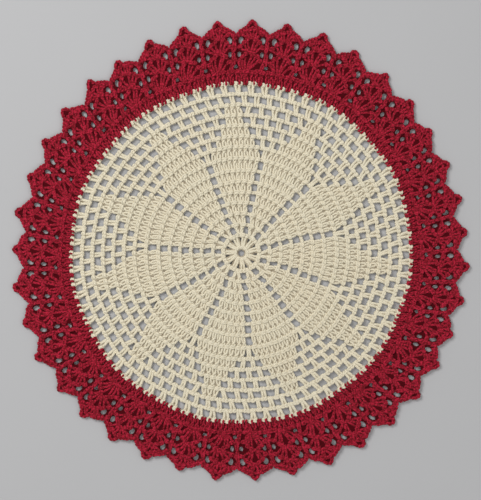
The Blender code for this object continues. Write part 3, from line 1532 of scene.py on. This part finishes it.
def dress(piece: bpy.types.Object, node: str) -> int:
    """Hang one piece under the body, hide the node that it replaces, and log it.

    Args:
        piece: the finished piece.
        node: the node that it replaces.

    Returns:
        The number of its triangles.
    """
    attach(piece, BODY)
    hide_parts(node)
    triangles = sum(len(face.vertices) - 2 for face in piece.data.polygons)
    LOG.info("%s: %d triangles", piece.name, triangles)
    return triangles


@dataclass(frozen=True)
class Part:
    """One colour of the mat: its node, its finishes (the yarn's own, and the darker painted shade of its
    ground), and its flat size and area in metres.
    """

    lie: Lie
    node: str
    slot: str
    finish: CottonFinish
    ground_shade_finish: CottonFinish
    flat: Point
    area: float

    def build(
        self,
        rounds: Sequence[Round],
        tree: bpy.types.NodeTree,
        outlines: Sequence[np.ndarray],
        gaps: Sequence[np.ndarray],
    ) -> int:
        """Make all pieces of this colour and hang them under the body.

        Args:
            rounds: the rounds to work.
            tree: the node tree that spins the yarn.
            outlines: the ground's outer edge and its edge about the middle, in metres.
            gaps: the gaps of the ground, as corners on the flat pattern.

        Returns:
            The number of triangles.
        """
        yarn_finish = self.finish.make()
        pieces = []
        for worked in rounds:
            path = worked.path()
            line = np.concatenate([self.lie.laid_flat(path[:, :2]), path[:, 2:] * MM], 1)
            pieces.append(YARN.spin(worked.name, line, tree, yarn_finish))
        cuts = [self.lie.laid_flat(gap) for gap in gaps]
        # The ground takes the darker finish: painted shade between the strands.
        ground = ShadedGround(self.node + "_ground").build([*outlines, *cuts], self.ground_shade_finish.make())
        total = sum(dress(piece, self.node) for piece in (*pieces, ground))
        LOG.info("%s: %d gaps in its ground", self.node, len(cuts))
        return total


class Lamp(NamedTuple):
    """A square lamp: where it hangs and its side, in metres, and its power in watts."""

    name: str
    place: tuple[float, float, float]
    side: float
    power: float


@dataclass(frozen=True)
class Studio:
    """The floor, the lights and the camera straight above."""

    floor_size: float = 6.0
    lens: float = 100.0
    sensor: float = 36.0
    metres_per_pixel: float = 0.00083
    image_wide: int = 481
    image_high: int = 500
    mat_across: float = 241.5
    mat_down: float = 248.5
    mat_height: float = 0.003
    lamps: tuple[Lamp, ...] = (
        Lamp("key", (-0.9, 0.8, 1.3), side=0.7, power=22.0),
        Lamp("fill", (0.8, -0.5, 1.6), side=1.6, power=9.0),
    )
    sky: float = 0.45

    def floor(self) -> None:
        """The plain pale floor."""
        half = self.floor_size / 2.0
        corners = [(-half, -half, 0.0), (half, -half, 0.0), (half, half, 0.0), (-half, half, 0.0)]
        mesh = bpy.data.meshes.new("floor")
        mesh.from_pydata(corners, [], [(0, 1, 2, 3)])
        mesh.materials.append(FloorFinish().make())
        linked("floor", mesh)

    def light(self, lamp: Lamp) -> None:
        """A soft square lamp that faces the mat.

        Args:
            lamp: its row in the table.
        """
        data = bpy.data.lights.new(lamp.name, "AREA")
        data.size = lamp.side
        data.energy = lamp.power
        thing = linked(lamp.name, data)
        thing.location = lamp.place
        thing.rotation_euler = (-Vector(lamp.place)).to_track_quat("-Z", "Y").to_euler()

    def camera(self) -> None:
        """The camera, placed so that the mat lies where the photograph has it."""
        data = bpy.data.cameras.new("camera")
        data.lens = self.lens
        data.sensor_width = self.sensor
        reach = self.metres_per_pixel * max(self.image_wide, self.image_high)
        height = self.mat_height + reach * self.lens / self.sensor
        right = (self.mat_across - self.image_wide / 2.0) * self.metres_per_pixel
        down = (self.mat_down - self.image_high / 2.0) * self.metres_per_pixel
        thing = linked("camera", data)
        thing.location = (-right, down, height)
        bpy.context.scene.camera = thing

    def build(self) -> None:
        """Set up everything around the mat."""
        self.floor()
        for lamp in self.lamps:
            self.light(lamp)
        world = bpy.data.worlds.new("studio")
        world.use_nodes = True
        sky = world.node_tree.nodes["Background"].inputs
        sky["Color"].default_value = rgba((1.0, 1.0, 1.0))
        sky["Strength"].default_value = self.sky
        bpy.context.scene.world = world
        bpy.context.scene.view_settings.view_transform = "Standard"
        self.camera()


def main() -> None:
    """Make the mat and the studio around it."""
    logging.basicConfig(level=logging.INFO, format="%(name)s: %(message)s")
    lie = Lie()
    edge = ScallopEdge(lie)
    centre = Centre(lie)
    border = Border(lie, edge, centre)
    tree = YARN.tree()
    Studio().build()
    rounds = centre.rounds()
    edges = [lie.circle(centre.ground_edge, EDGE_CORNERS), lie.circle(centre.ring_hole, RING_CORNERS)]
    gaps = centre.spokes() + [gap for worked in rounds[2:] for gap in worked.openings()]
    cream = Part(lie, "cream_centre", "cream_yarn", CREAM, CREAM_SHADE_GROUND, flat=(0.281, 0.281), area=0.047)
    total = cream.build(rounds, tree, edges, gaps)
    rim = edge.outline(border.ground_inset)
    edges = [lie.laid(rim[:, 0], rim[:, 1]), lie.circle(border.ground_from, EDGE_CORNERS)]
    red = Part(lie, "red_border", "red_yarn", RED, RED_SHADE_GROUND, flat=(0.379, 0.381), area=0.0435)
    total += red.build(border.rounds(), tree, edges, border.gaps())
    LOG.info("all pieces: %d triangles", total)


if __name__ == "__main__":
    main()
